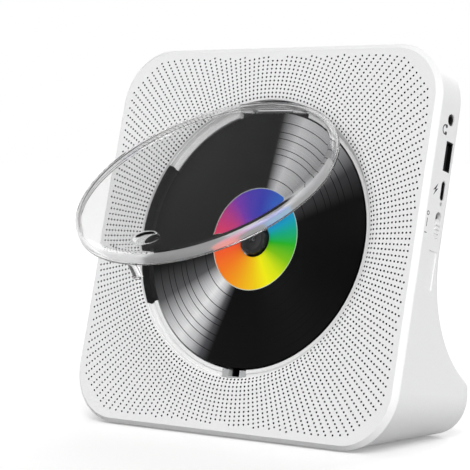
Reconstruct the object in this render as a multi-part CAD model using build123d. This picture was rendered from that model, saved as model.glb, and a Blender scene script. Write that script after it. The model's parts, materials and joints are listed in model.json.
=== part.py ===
from build123d import *
import os
from math import sin, cos, pi, radians, hypot

# Desktop CD player: a rounded square white box that leans back on a flared foot. A clear round
# cover is hinged above the disc and stands open. Millimetres, +Z up, front faces -Y. The origin is
# the centre of the rubber foot pad's underside.
#
# Most pieces are drawn in the face frame: x runs right as seen from the front, y runs up along the
# face and z runs out of the face. Its origin is the centre of the face. on_face() stands it up.

# Driving dimensions: housing
tilt = 15.0                 # the face leans back by this many degrees
face_y, face_z = -11.0, 90.0    # centre of the face
body_width = 183.0
body_top = 91.7             # highest line of the face above its centre, along the face
corner_r = 26.0
heel_r = 18.0               # lower corners tighten to this radius at the rear of the foot
heel_start = -26.0          # world Y where they begin to tighten
body_depth = 20.8           # thickness of the upper part, square to the face
wall = 2.3
panel_t = 2.5
bevel = 2.3                 # chamfer round the front
flare_r = 53.0              # hollow curve from the upper part down to the foot
flare_start = 1.0           # height on the face where the hollow curve starts
flare_turn = 67.0           # degrees that the curve turns through
foot_back = 34.0            # rear of the foot, world Y
base_z = 1.0                # underside of the housing, world Z
back_edge_r = 4.0
foot_edge_r = 4.5
seam_chamfer = 0.3          # shadow line between the front panel and the rear shell
case_screw_u, case_screw_v = 80.0, (8.0, 74.0)
case_boss_r = 3.5
port_side = body_width/2

# Driving dimensions: disc well
disc_r, disc_t, disc_hole_r = 60.0, 1.2, 7.5
disc_top = -4.55
well_floor = -7.8
floor_t = 1.8
lip_in, lip_out, lip_top = 60.8, 62.8, -4.6
groove_floor = -5.3
ring_wall_r = 64.6          # inner face of the ring's upright wall
opening_r = 65.1            # round opening of the front panel
funnel_r = 70.5             # the panel dips towards the disc inside this radius
ring_step, ring_out = 66.4, 68.7
flange_top, flange_t = -5.0, 1.5
flange_r = 73.3
well_screw_r = 71.1
notch_half = 31.0           # finger notch, degrees either side of the left
slot_half = 20.0            # hinge slot, mm either side of the middle
slot_back_r = 66.6

# Driving dimensions: cover
cover_r, cover_top_r = 62.2, 59.2
cover_wall = 1.6
cover_seat = -4.5           # lower edge of the cover's rim when closed
cover_h = 5.6
cover_dome = 0.4
open_angle = 42.3
pivot_v, pivot_w = 61.3, -5.75
pin_r, pin_half = 0.75, 22.0
knuckle_r, knuckle_in, knuckle_out = 1.7, 11.0, 18.4
hook_len, hook_w = 7.4, 5.6
dimple_v, dimple_size = 50.0, (7.0, 4.0)

# Driving dimensions: drive
spindle_r = 1.0
turntable_r = 15.0
hub_r = 7.2
ball_w = -3.85              # height of the three clamp balls
motor_r = 12.2
plate_top, plate_t = -10.8, 1.2
lens_start, lens_travel = -24.0, 31.0
rod_u, rod_w, rod_r = 18.5, -16.5, 1.5
rod_v0, rod_v1 = -7.0, -83.0
rack_module, rack_teeth_pitch_u = 0.6, 23.0
pinion_teeth, wheel_teeth, wheel_module, motor_teeth = 16, 48, 0.4, 10
gear_v = -30.0

# Driving dimensions: sound, power and controls
speaker_c, speaker_r = 65.5, 20.0
cell_r, cell_len = 9.2, 65.0
cell_y, cell_z = 19.0, 14.0
jack_v, jack_d = 59.0, 12.0
usb_v, usb_d = 42.7, 13.8
usbc_v, usbc_d = 27.2, 13.4
led_v, led_d = 21.4, 13.4
switch_v, switch_d = 11.6, 13.0
button_us = [-32.0, -16.0, 0.0, 16.0, 32.0]
button_d, button_foot = 10.4, 86.4
pad_x, pad_y, pad_t = 124.0, 48.0, 1.8

lean = radians(tilt)
face_plane = Plane(origin=(0, face_y, face_z), x_dir=(1, 0, 0), z_dir=(0, -cos(lean), sin(lean)))
clear = 0.05                # running fit, radial


# Small helpers
def on_face(part):
    """Stand a piece drawn in the face frame up at its place in the object."""
    return face_plane.location * part


def box(x0, x1, y0, y1, z0, z1):
    return Pos((x0+x1)/2, (y0+y1)/2, (z0+z1)/2) * Box(abs(x1-x0), abs(y1-y0), abs(z1-z0))


def rod(r, x, y, z0, z1):
    return Pos(x, y, (z0+z1)/2) * Cylinder(r, abs(z1-z0))


def rod_x(r, x0, x1, y, z):
    return Pos((x0+x1)/2, y, z) * Rot(0, 90, 0) * Cylinder(r, abs(x1-x0))


def rod_y(r, y0, y1, x, z):
    return Pos(x, (y0+y1)/2, z) * Rot(90, 0, 0) * Cylinder(r, abs(y1-y0))


def tube(r_out, r_in, x, y, z0, z1):
    return rod(r_out, x, y, z0, z1) - rod(r_in, x, y, z0-1, z1+1)


def turned(points):
    """A solid of revolution about the disc's axis from (radius, height) points."""
    section = make_face(Polyline(*[(r, 0, z) for r, z in points], close=True))
    return revolve(section, Axis.Z, 360)


def face_to_world(v, w):
    """World (y, z) of a point v up the face and w out of it."""
    return face_y + v*sin(lean) - w*cos(lean), face_z + v*cos(lean) + w*sin(lean)


def world_to_face(y, z):
    dy, dz = y-face_y, z-face_z
    return dy*sin(lean) + dz*cos(lean), -dy*cos(lean) + dz*sin(lean)


# Housing
def rear_line():
    """Corner points of the back, in world (y, z), from the top down to the base."""
    turn = radians(flare_turn)
    top = face_to_world(body_top, -body_depth)
    start = face_to_world(flare_start, -body_depth)
    centre = (flare_start, -(body_depth+flare_r))
    mid = face_to_world(centre[0]-flare_r*sin(turn/2), centre[1]+flare_r*cos(turn/2))
    end = face_to_world(centre[0]-flare_r*sin(turn), centre[1]+flare_r*cos(turn))
    d_y, d_z = face_to_world(-cos(turn), -sin(turn))
    d_y, d_z = d_y-face_y, d_z-face_z
    tail = (foot_back, end[1] + (foot_back-end[0])*d_z/d_y)
    return top, start, mid, end, tail, (foot_back, base_z)


def side_profile():
    top, start, mid, end, tail, heel = rear_line()
    toe_v = (base_z-face_z)/cos(lean)
    toe = face_to_world(toe_v, 0)
    crown = face_to_world(body_top, 0)
    edges = Line(crown, top) + Line(top, start) + ThreePointArc(start, mid, end)
    edges += Line(end, tail) + Line(tail, heel) + Line(heel, toe) + Line(toe, crown)
    outline = make_face(edges)
    corner = outline.vertices().sort_by_distance((*tail, 0))[0]
    return fillet(corner, foot_edge_r)


def body_block(inset):
    """The outer shape of the housing, or that shape drawn in by inset on every side."""
    profile = side_profile()
    if inset:
        profile = offset(profile, -inset, kind=Kind.INTERSECTION)
    half = body_width/2 - inset
    r = corner_r - inset
    block = extrude(Plane.YZ * profile, half, both=True)
    tall = 2*body_top + 100
    upper = Pos(0, body_top-inset-tall/2) * Rectangle(2*half, tall)
    upper = fillet(upper.vertices().group_by(Axis.Y)[-1], r)
    upper = on_face(Pos(0, 0, 20) * extrude(upper, -160))
    sections = []
    for y, round_r in ((-150, corner_r), (heel_start, corner_r), (foot_back, heel_r), (foot_back+2, heel_r)):
        flat = Pos(0, base_z+inset+tall/2) * Rectangle(2*half, tall)
        flat = fillet(flat.vertices().group_by(Axis.Y)[0], round_r-inset)
        sections.append(Plane(origin=(0, y, 0), x_dir=(1, 0, 0), z_dir=(0, -1, 0)) * flat)
    return block & upper & loft(sections, ruled=True)


def front_slab(w0, w1):
    """Everything between two depths of the face frame."""
    return on_face(box(-150, 150, -150, 150, w0, w1))


def rear_rim(block):
    """The edges that run round the back of the housing, with the cross lines left out."""
    top, start, mid, end, tail, heel = rear_line()
    outline = side_profile()
    back = [e for e in outline.edges() if e.center().X > face_y+2 and on_back(e)]
    found = []
    for e in block.edges():
        a, b, m = e @ 0, e @ 1, e @ 0.5
        if not all(near_back(p, back) for p in (a, b, m)):
            continue
        across = abs((e % 0.5).X) > 0.99
        at_end = min(hypot(m.Y-p[0], m.Z-p[1]) for p in (top, heel)) < 0.05
        if at_end or not across:
            found.append(e)
    return found


def on_back(edge):
    m = edge @ 0.5
    v, w = world_to_face(m.X, m.Y)
    return w < -body_depth/2 - 2 and m.Y > base_z + 0.5


def near_back(point, back):
    spot = Vertex(point.Y, point.Z, 0)
    return min(e.distance_to(spot) for e in back) < 0.02


def front_panel():
    panel = body_block(0) & front_slab(-panel_t, 5)
    rim = [e for e in panel.edges() if abs(face_w(e @ 0.5)) < 0.01]
    panel = chamfer(rim, bevel)
    panel -= on_face(rod(opening_r, 0, 0, -10, 10))
    panel -= on_face(funnel_cut())
    panel -= on_face(rod(60, 0, 6.1, -10, 10))
    for u, v in case_spots():
        panel += on_face(rod(case_boss_r, u, v, -panel_t, -(body_depth-wall)))
        panel -= on_face(rod(1.0, u, v, -10, -(body_depth-wall)-1))
    for x, y in deck_screws():
        panel += on_face(rod(2.2, x, y, -panel_t, flange_top))
        panel -= on_face(rod(0.9, x, y, -panel_t-0.4, flange_top-1))
    for side in (-1, 1):
        for x, y in speaker_screws(side):
            panel += on_face(rod(2.0, x, y, -panel_t, -3.5))
            panel -= on_face(rod(0.7, x, y, -1.2, -4.5))
    for u in (-46, 46):
        panel += on_face(box(u-1.5, u+1.5, 77, 80.4, -14, -panel_t))
    return panel


def case_spots():
    return [(side*case_screw_u, v) for side in (-1, 1) for v in case_screw_v]


def face_w(point):
    return world_to_face(point.Y, point.Z)[1]


def funnel_cut():
    """What is taken off the panel round its opening, so that it dips towards the disc."""
    spots = [(opening_r-2, -2.6), (opening_r, -1.0), (66.5, -0.48), (68.5, -0.13), (funnel_r, 0)]
    curve = Spline(*[(r, 0, w) for r, w in spots])
    lines = Polyline((funnel_r, 0, 0), (funnel_r, 0, 2), (opening_r-2, 0, 2), (opening_r-2, 0, -2.6))
    return revolve(make_face(curve + lines), Axis.Z, 360)


def rear_shell():
    block = body_block(0)
    block = fillet(rear_rim(block), back_edge_r)
    shell = block & front_slab(-160, -panel_t)
    seam = [e for e in shell.edges() if abs(face_w(e @ 0.5)+panel_t) < 0.01]
    shell = chamfer(seam, seam_chamfer)
    shell -= body_block(wall) & front_slab(-160, 5)
    shell -= port_cuts()
    for u in button_us:
        shell -= on_face(Pos(u, body_top, -button_d) * obround_y(10.6, 5.6, 12))
    for u, v in case_spots():
        shell -= on_face(rod(1.4, u, v, -30, -10))
        shell -= on_face(rod(3.1, u, v, -30, -body_depth+1.2))
    shell -= box(-pad_x/2, pad_x/2, -pad_y/2, pad_y/2, 0, pad_t)
    return shell


def obround_x(length_v, width_w, depth):
    """A slot-shaped cutter that points along x, with its length along y."""
    flat = SlotOverall(length_v, width_w, rotation=0)
    return extrude(Plane.YZ * flat, depth/2, both=True)


def obround_y(length_u, width_w, depth):
    """A slot-shaped block that points along y, with its length along x."""
    flat = SlotOverall(length_u, width_w)
    return extrude(Plane.XZ * flat, depth/2, both=True)


def port_cuts():
    x = port_side
    cuts = rod_x(2.7, x-6, x+6, jack_v, -jack_d)
    cuts += box(x-6, x+6, usb_v-6.75, usb_v+6.75, -usb_d-2.95, -usb_d+2.95)
    cuts += Pos(x, usbc_v, -usbc_d) * obround_x(9.3, 3.6, 12)
    cuts += rod_x(0.85, x-6, x+6, led_v, -led_d)
    cuts += Pos(x, switch_v, -switch_d) * obround_x(12.0, 4.6, 12)
    cuts += box(x-0.5, x+1, -17, 0, -15.8, -9.3)
    return on_face(cuts)


def foot_pad():
    pad = box(-pad_x/2, pad_x/2, -pad_y/2, pad_y/2, 0, pad_t)
    return fillet(pad.edges().filter_by(Axis.Z), 6)


def case_screws():
    heads = []
    for u, v in case_spots():
        head = rod(2.8, u, v, -body_depth+0.1, -body_depth+1.2)
        shank = rod(1.0, u, v, -body_depth+1.2, -11)
        screw = head + shank - phillips(u, v, -body_depth+0.1)
        heads.append(on_face(screw))
    return heads


def phillips(u, v, w):
    """A cross recess that opens at height w and faces the back."""
    return box(u-1.5, u+1.5, v-0.3, v+0.3, w, w+0.7) + box(u-0.3, u+0.3, v-1.5, v+1.5, w, w+0.7)


# Disc well
def deck_screws():
    spots = []
    for a in (12, 60, 120, 240, 300, 348):
        spots.append((well_screw_r*cos(radians(a)), well_screw_r*sin(radians(a))))
    return spots


def sector(half_angle, middle, r, w0, w1):
    """A wedge of a disc, for cutting the finger notch."""
    a0, a1 = radians(middle-half_angle), radians(middle+half_angle)
    reach = r*1.6
    flat = make_face(Polyline((0, 0), (reach*cos(a0), reach*sin(a0)),
                              (reach*cos(radians(middle)), reach*sin(radians(middle))),
                              (reach*cos(a1), reach*sin(a1)), close=True))
    return (Pos(0, 0, w0) * extrude(flat, w1-w0)) & rod(r, 0, 0, w0, w1)


def bezel_ring():
    ring = turned([(lip_in, well_floor), (lip_in, lip_top-0.3), (lip_in+0.3, lip_top),
                   (lip_out-0.4, lip_top), (lip_out, lip_top-0.4), (lip_out, groove_floor),
                   (ring_wall_r, groove_floor), (ring_wall_r, -panel_t), (ring_out, -panel_t),
                   (ring_out, flange_top), (ring_step, flange_top), (ring_step, well_floor)])
    ring -= sector(notch_half, 180, ring_step+0.2, -12, 0)
    ring -= box(-slot_half, slot_half, 40, 70, -12, 0) & rod(slot_back_r+0.9, 0, 0, -12, 0)
    ring -= box(-6.8, 6.8, -65.0, -50, -12, 0)
    for side in (-1, 1):
        lug = box(side*slot_half, side*(pin_half+1.2), 60.0, 62.8, well_floor, -4.4)
        ring += lug & rod(ring_step, 0, 0, -12, 0)
    ring -= rod_x(pin_r, -pin_half, pin_half, pivot_v, pivot_w)
    return on_face(ring)


def deck():
    """Black moulding under the disc, with the openings for the turntable and the lens."""
    bottom = well_floor-floor_t
    under = flange_top-flange_t
    dish = turned([(0, bottom), (ring_step+1.8, bottom), (ring_step+1.8, under),
                   (flange_r, under), (flange_r, flange_top), (ring_step, flange_top),
                   (ring_step, well_floor), (0, well_floor)])
    notch_wall = tube(ring_step, ring_wall_r+0.5, 0, 0, well_floor, -panel_t)
    dish += notch_wall & sector(notch_half-0.3, 180, ring_step+1, -12, 0)
    slot_wall = tube(slot_back_r+0.8, slot_back_r, 0, 0, well_floor, -panel_t)
    dish += slot_wall & box(-slot_half+0.2, slot_half-0.2, 40, 70, -12, 0)
    dish -= rod(17.0, 0, 0, -12, -5)
    dish -= box(-14, 14, -60.0, -10, -12, -6)
    dish -= box(-3.2, 3.2, -64.0, -59, -12, -6)
    for x, y in deck_screws():
        dish -= rod(1.3, x, y, -12, 0)
    for x, y in isolator_spots():
        dish += rod(3.9, x, y, bottom-1.2, bottom)
        dish -= rod(0.9, x, y, bottom-1.3, bottom+1.0)
    for x, y in board_spots():
        dish += rod(2.6, x, y, -12.2, bottom)
        dish -= rod(0.7, x, y, -12.3, bottom)
    return on_face(dish)


def deck_fixings():
    under = flange_top-flange_t
    return [on_face(rod(2.1, x, y, under-1.5, under) + rod(0.9, x, y, under, -3.2)
                    - phillips(x, y, under-1.5)) for x, y in deck_screws()]


def latch_catch():
    """Clear U-shaped block in the ring, which the cover's hook drops into."""
    catch = box(-6.6, 6.6, -64.6, -60.9, well_floor, -4.9) - box(-3.1, 3.1, -64.0, -60, -8, -4)
    return on_face(catch)


# Cover, drawn closed and then turned open about its pin
def cover_section(inset):
    """Half of the cover's section, drawn in by inset. It ends that much below the rim's edge."""
    top = cover_seat + cover_h - inset
    low = cover_seat - inset
    rim, edge = cover_r-inset, cover_top_r-inset*0.6
    shoulder = (rim, 0, cover_seat+1.6)
    bend = (edge+(rim-edge)*0.68, 0, top-(top-shoulder[2])*0.27)
    crown = (edge, 0, top)
    line = Line((rim, 0, low), shoulder) + ThreePointArc(shoulder, bend, crown)
    line += Spline(crown, (edge/2, 0, top+cover_dome*0.75), (0, 0, top+cover_dome))
    line += Polyline((0, 0, top+cover_dome), (0, 0, low), (rim, 0, low))
    return make_face(line)


def opened(part):
    """Turn a piece of the cover, drawn closed, open about its pin and stand it up."""
    return on_face(part.rotate(Axis((0, pivot_v, pivot_w), (1, 0, 0)), -open_angle))


def cover():
    lid = revolve(cover_section(0), Axis.Z, 360) - revolve(cover_section(cover_wall), Axis.Z, 360)
    dimple = Pos(0, -dimple_v, cover_seat+cover_h-0.25) * extrude(Ellipse(*dimple_size), 2)
    return opened(lid - dimple)


def cover_knuckles():
    """Two clear arms under the cover's rim, with the barrels that turn on the pin."""
    inside = rod(cover_r-cover_wall, 0, 0, -12, cover_seat+1.5)
    knuckles = []
    for side in (-1, 1):
        u0, u1 = side*knuckle_in, side*knuckle_out
        arm = rod_x(knuckle_r, u0, u1, pivot_v, pivot_w)
        arm += box(u0, u1, pivot_v-2.6, pivot_v-0.2, pivot_w, cover_seat) & rod(cover_r, 0, 0, -12, 0)
        arm -= inside + rod_x(pin_r+clear, side*(knuckle_in-1), side*(knuckle_out+1), pivot_v, pivot_w)
        arm -= tube(cover_r+4, cover_r-cover_wall-1, 0, 0, cover_seat, 0)
        knuckles.append(opened(arm))
    return knuckles


def cover_hook():
    """Tapered tab under the cover's free edge, with a small barb at its tip."""
    tab = make_face(Polyline((-hook_w/2, 0), (hook_w/2, 0), (hook_w/2-0.5, -hook_len),
                             (-hook_w/2+0.5, -hook_len), close=True))
    tab = Pos(0, -cover_r+cover_wall-0.1, cover_seat) * extrude(Plane.XZ * tab, cover_wall-0.3)
    barb = box(-hook_w/2+0.7, hook_w/2-0.7, -cover_r-0.6, -cover_r+0.5, cover_seat-hook_len+0.1,
               cover_seat-hook_len+1.4)
    return opened(tab + barb)


def hinge_pin():
    return on_face(rod_x(pin_r, -pin_half, pin_half, pivot_v, pivot_w))


# Disc and spindle
def disc():
    flat = rod(disc_r, 0, 0, disc_top-disc_t, disc_top) - rod(disc_hole_r, 0, 0, -9, 0)
    return on_face(fillet(flat.edges().filter_by(GeomType.CIRCLE), 0.25))


def turntable():
    seat = disc_top-disc_t
    hub = turned([(0, seat-2.2), (turntable_r, seat-2.2), (turntable_r, seat), (hub_r, seat),
                  (hub_r, disc_top+1.5), (hub_r-1.0, disc_top+2.3), (0, disc_top+2.3)])
    hub -= rod(spindle_r, 0, 0, seat-3, disc_top+1.2)
    for k in range(3):
        hub -= Rot(0, 0, 90+120*k) * rod_x(1.25, 5.2, hub_r+1, 0, ball_w)
        hub -= box_turned(k, hub_r-0.7, hub_r+1, 2.4, seat+0.4, disc_top+3)
    return on_face(hub)


def box_turned(k, r0, r1, width, w0, w1):
    """A small block at radius r0 to r1, halfway between two of the clamp balls."""
    return Rot(0, 0, 30+120*k) * box(r0, r1, -width/2, width/2, w0, w1)


def clamp_balls():
    balls = []
    for k in range(3):
        a = radians(90+120*k)
        balls.append(on_face(Pos(6.5*cos(a), 6.5*sin(a), ball_w) * Sphere(1.2)))
    return balls


def spindle_shaft():
    return on_face(rod(spindle_r, 0, 0, disc_top+1.2, -17.4))


def spindle_motor():
    can = rod(motor_r, 0, 0, plate_top-plate_t, -18.1)
    can = fillet(can.edges().group_by(Axis.Z)[0], 0.8)
    can += tube(3.0, spindle_r+clear, 0, 0, plate_top-0.2, plate_top-plate_t)
    can -= rod(spindle_r+clear, 0, 0, -17.5, -9)
    return on_face(can)


# Mechanism plate and what it carries
def isolator_spots():
    return [(-36, 14), (36, 14), (-30, -52), (30, -52)]


def mechanism_plate():
    bottom = plate_top-plate_t
    plate = box(-41, 41, -84, 20, bottom, plate_top)
    plate = fillet(plate.edges().filter_by(Axis.Z), 5)
    for side in (-1, 1):
        plate -= box(side*36, side*60, -90, -58, -20, -5)
    plate -= rod(3.0, 0, 0, -20, -5)
    plate -= box(-14.5, 14.5, -72, -13.5, -20, -5)
    for x, y in isolator_spots():
        plate -= rod(3.2, x, y, -20, -5)
    for side in (-1, 1):
        for v0, v1 in ((rod_v0-3.0, rod_v0), (rod_v1, rod_v1+3.0)):
            lug = box(side*16, side*20.1, v0, v1, -18.4, bottom)
            plate += lug
        plate -= rod_y(rod_r, rod_v1, rod_v0, side*rod_u, rod_w)
    return on_face(plate)


def isolators():
    bottom = plate_top-plate_t
    rings = []
    for x, y in isolator_spots():
        ring = rod(4.6, x, y, -14.2, plate_top) - tube(6, 3.2, x, y, bottom, plate_top)
        ring -= rod(2.0, x, y, -20, -5)
        rings.append(on_face(ring))
    return rings


def shoulder_screws():
    screws = []
    for x, y in isolator_spots():
        shank = rod(2.0, x, y, -14.2, plate_top) + rod(0.9, x, y, plate_top, well_floor-0.9)
        screw = shank + rod(3.6, x, y, -15.6, -14.2)
        screws.append(on_face(screw - phillips(x, y, -15.6)))
    return screws


def guide_rods():
    return [on_face(rod_y(rod_r, rod_v1, rod_v0, side*rod_u, rod_w)) for side in (-1, 1)]


def pickup_body():
    y0 = lens_start
    body = box(-12, 12, y0-4.4, y0+7.0, -13.0, -8.6)
    body += box(-16.0, 16.0, y0-20, y0+9, -18.6, -12.6)
    for side in (-1, 1):
        body += box(side*15.5, side*20.3, y0-16, y0+4, -18.4, -14.6)
        body -= rod_y(rod_r+clear, y0-40, y0+20, side*rod_u, rod_w)
    body -= rod(3.4, 0, y0, -10.5, -5)
    return on_face(body)


def pickup_lens():
    lens = rod(3.2, 0, lens_start, -10.5, -8.9) + rod(2.1, 0, lens_start, -8.9, -8.3)
    return on_face(fillet(lens.edges().group_by(Axis.Z)[-1], 0.5))


def sled_rack():
    """Toothed bar on the pickup's right side. It has a gap level with the gear's middle."""
    pitch = pi*rack_module
    u0, u_root = 20.3, rack_teeth_pitch_u-1.1*rack_module
    bar = box(u0, u_root, gear_v-4.5, gear_v+lens_travel+5.5, -16.4, -14.6)
    half_root, half_tip = pitch*0.31, pitch*0.13
    count = int((lens_travel+8)/pitch)
    for k in range(-2, count):
        v = gear_v + (k+0.5)*pitch
        tooth = make_face(Polyline((u_root-0.1, v-half_root), (u_root-0.1, v+half_root),
                                   (rack_teeth_pitch_u+0.75*rack_module, v+half_tip),
                                   (rack_teeth_pitch_u+0.75*rack_module, v-half_tip), close=True))
        bar += Pos(0, 0, -16.4) * extrude(tooth, 1.8)
    return on_face(bar)


def toothed(teeth, module, w0, w1, phase=0.0):
    """A spur gear about the z axis, with straight-sided teeth and some backlash."""
    r_tip, r_root = module*(teeth/2+0.75), module*(teeth/2-1.1)
    step = 2*pi/teeth
    points = []
    for k in range(teeth):
        a = radians(phase) + k*step
        for da, r in ((-0.31*step, r_root), (-0.12*step, r_tip), (0.12*step, r_tip), (0.31*step, r_root)):
            points.append((r*cos(a+da), r*sin(a+da)))
    return Pos(0, 0, min(w0, w1)) * extrude(make_face(Polyline(*points, close=True)), abs(w1-w0))


def gear_spot():
    return rack_teeth_pitch_u + rack_module*pinion_teeth/2, gear_v


def motor_spot():
    u, v = gear_spot()
    return u + wheel_module*(wheel_teeth+motor_teeth)/2, v


def sled_gear():
    u, v = gear_spot()
    gear = toothed(wheel_teeth, wheel_module, -12.4, -13.8) + toothed(pinion_teeth, rack_module, -13.8, -16.8)
    gear -= rod(1.0+clear, 0, 0, -20, -5)
    return on_face(Pos(u, v, 0) * gear)


def gear_axle():
    u, v = gear_spot()
    return on_face(rod(1.0, u, v, plate_top-plate_t, -17.4) + rod(1.8, u, v, -17.4, -17.0-0.9))


def sled_motor():
    """Small can motor on two posts below the plate. Its shaft carries the drive pinion."""
    u, v = motor_spot()
    can = rod(6.0, u, v, -14.8, -22.6)
    can = fillet(can.edges().group_by(Axis.Z)[0], 0.6)
    can += tube(2.2, 0.75+clear, u, v, -14.2, -14.8)
    can -= rod(0.75+clear, u, v, -20, -12)
    for dv in (-4.4, 4.4):
        can += rod(1.0, u, v+dv, -15.2, plate_top-plate_t)
    return on_face(can)


def motor_pinion():
    u, v = motor_spot()
    gear = Pos(u, v, 0) * toothed(motor_teeth, wheel_module, -12.4, -14.0, phase=180/motor_teeth)
    gear += rod(0.75, u, v, -19.5, -12.4)
    return on_face(gear)


# Boards
def board_spots():
    return [(-42, 30), (42, 30), (-34, 54), (34, 54)]


def main_board():
    board = box(-49, 49, 24, 60, -13.8, -12.2)
    board = fillet(board.edges().filter_by(Axis.Z), 2)
    for x, y in board_spots():
        board -= rod(1.2, x, y, -20, -5)
    return on_face(board)


def board_parts():
    """Chips, capacitors and sockets on the back of the main board."""
    parts = [box(-12, 4, 34, 50, -15.4, -13.8), box(12, 24, 36, 46, -15.2, -13.8),
             box(-30, -21, 42, 51, -15.6, -13.8), box(-8, 12, 25.5, 30, -17.0, -13.8),
             box(26, 36, 25.5, 30, -17.0, -13.8)]
    for x, y in ((30, 36), (36, 42), (-24, 30), (-38, 40)):
        parts.append(rod(2.5, x, y, -17.8, -13.8))
    return [on_face(p) for p in parts]


def board_screws():
    return [on_face(rod(2.1, x, y, -15.2, -13.8) + rod(0.7, x, y, -13.8, -10.2)
                    - phillips(x, y, -15.2)) for x, y in board_spots()]


def port_board():
    board = box(64, 88.6, 2, 66, -18.3, -16.8)
    return on_face(board - rod(3.9, 80, 8, -20, -5))


def jack_socket():
    x = port_side
    body = box(76, x-wall-0.1, jack_v-3.4, jack_v+3.4, -16.8, -jack_d+3.2)
    body += rod_x(2.55, x-wall-0.2, x-0.6, jack_v, -jack_d)
    return on_face(body - rod_x(1.8, 77.5, x+1, jack_v, -jack_d))


def usb_a_socket():
    x = port_side-0.3
    shell = box(75, x, usb_v-6.6, usb_v+6.6, -usb_d-2.85, -usb_d+2.85)
    shell -= box(76, x+1, usb_v-6.2, usb_v+6.2, -usb_d-2.45, -usb_d+2.45)
    return on_face(shell)


def usb_a_tongue():
    return on_face(box(76, port_side-2.0, usb_v-5.6, usb_v+5.6, -usb_d-2.2, -usb_d-0.4))


def usb_c_socket():
    x = port_side-0.2
    shell = Pos((x+81)/2, usbc_v, -usbc_d) * obround_x(8.9, 3.2, x-81)
    shell -= Pos((x+82)/2+1, usbc_v, -usbc_d) * obround_x(8.3, 2.6, x-82+2)
    return on_face(shell)


def usb_c_tongue():
    return on_face(box(82, port_side-1.2, usbc_v-3.35, usbc_v+3.35, -usbc_d-0.35, -usbc_d+0.35))


def charge_light():
    pipe = rod_x(0.8, 84, port_side+0.1, led_v, -led_d) + box(82, 84, led_v-1.1, led_v+1.1, -16.8, -led_d+1.1)
    return on_face(pipe)


def power_switch():
    x = port_side-wall-0.1
    body = box(x-5.0, x, switch_v-7.5, switch_v+7.5, -16.8, -switch_d+3.2)
    body -= box(x-3.4, x+1, switch_v-5.6, switch_v+5.6, -switch_d-1.6, -switch_d+1.6)
    return on_face(body)


def switch_knob():
    """Ridged slider. It stands at the lower end of its window, which is the on position."""
    x, length = port_side, 8.6
    middle = switch_v - 5.8 + length/2
    knob = Pos(x-1.3, middle, -switch_d) * obround_x(length, 4.2, 2.2)
    for k in (-1, 0, 1):
        knob += Pos(x, middle+1.9*k, -switch_d) * box(-0.3, 0.35, -0.35, 0.35, -1.4, 1.4)
    knob += box(x-5.4, x-2.3, middle-2.2, middle+2.2, -switch_d-1.3, -switch_d+1.3)
    return on_face(knob)


# Top buttons
def button(u):
    top = body_top + 0.6
    cap = Pos(u, (top+button_foot)/2, -button_d) * obround_y(10.0, 5.0, top-button_foot)
    cap = fillet(cap.edges().group_by(Axis.Y)[-1], 0.5)
    cap += Pos(u, body_top-wall-0.7, -button_d) * obround_y(11.6, 6.6, 0.8)
    cap += rod_y(1.4, button_foot-1.6, button_foot+0.1, u, -button_d)
    return on_face(cap)


def button_board():
    return on_face(box(-48, 66, 80.4, 82.0, -17.6, -3.6))


def tact_switches():
    switches = []
    for u in button_us:
        body = box(u-3, u+3, 82.0, 85.6, -button_d-3, -button_d+3)
        switches.append(on_face(body - rod_y(1.6, 84.0, 86, u, -button_d)))
    return switches


def ir_receiver():
    body = box(56, 62, 75.4, 80.4, -7.0, -4.0)
    return on_face(body + Pos(59, 78, -4.0) * Sphere(1.3))


# Speakers
def speaker_screws(side):
    spots = []
    for a in (45, 135, 225, 315):
        spots.append((side*speaker_c + 24.4*cos(radians(a)), -speaker_c + 24.4*sin(radians(a))))
    inner = [s for s in spots if hypot(*s) < hypot(speaker_c, speaker_c)+10]
    return [s for s in inner if hypot(*s) > flange_r+3]


def speaker_axis(side, part):
    return on_face(Pos(side*speaker_c, -speaker_c, 0) * part)


def speaker_gasket(side):
    return speaker_axis(side, tube(speaker_r, speaker_r-3, 0, 0, -3.5, -panel_t))


def speaker_frame(side):
    frame = turned([(speaker_r, -3.5), (speaker_r, -4.7), (18.2, -4.7), (12.6, -13.6), (12.6, -14.6),
                    (5.0, -14.6), (5.0, -13.6), (11.6, -13.6), (16.6, -5.4), (16.6, -3.5)])
    for k in range(4):
        a = 45+90*k
        ear = Rot(0, 0, a) * box(17.5, 26.6, -2.4, 2.4, -4.7, -3.5)
        if ear_used(side, a):
            frame += ear - Rot(0, 0, a) * rod(0.95, 24.4, 0, -6, -3)
    return speaker_axis(side, frame)


def ear_used(side, a):
    x = side*speaker_c + 24.4*cos(radians(a))
    y = -speaker_c + 24.4*sin(radians(a))
    return any(hypot(x-s[0], y-s[1]) < 0.1 for s in speaker_screws(side))


def speaker_cone(side):
    cone = turned([(16.5, -4.1), (16.5, -4.7), (15.6, -5.0), (14.8, -4.7), (5.2, -10.2), (0.0, -8.6),
                   (0.0, -8.2), (5.2, -9.7), (14.6, -4.1), (15.5, -3.7)])
    return speaker_axis(side, cone)


def speaker_magnet(side):
    magnet = turned([(0, -14.6), (11.5, -14.6), (11.5, -19.6), (10.9, -20.2), (0, -20.2)])
    return speaker_axis(side, magnet)


def speaker_fixings():
    screws = []
    for side in (-1, 1):
        for x, y in speaker_screws(side):
            screws.append(on_face(rod(1.7, x, y, -5.8, -4.7) + rod(0.7, x, y, -4.7, -1.4)))
    return screws


# Battery
def battery_cells():
    cells = []
    for side in (-1, 1):
        x0 = side*1.5 if side > 0 else -1.5-cell_len
        cell = rod_x(cell_r, x0, x0+cell_len, cell_y, cell_z)
        cell = fillet(cell.edges().filter_by(GeomType.CIRCLE), 0.8)
        cells.append(cell + rod_x(3.0, x0+cell_len-0.1, x0+cell_len+0.9, cell_y, cell_z))
    return cells


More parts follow.
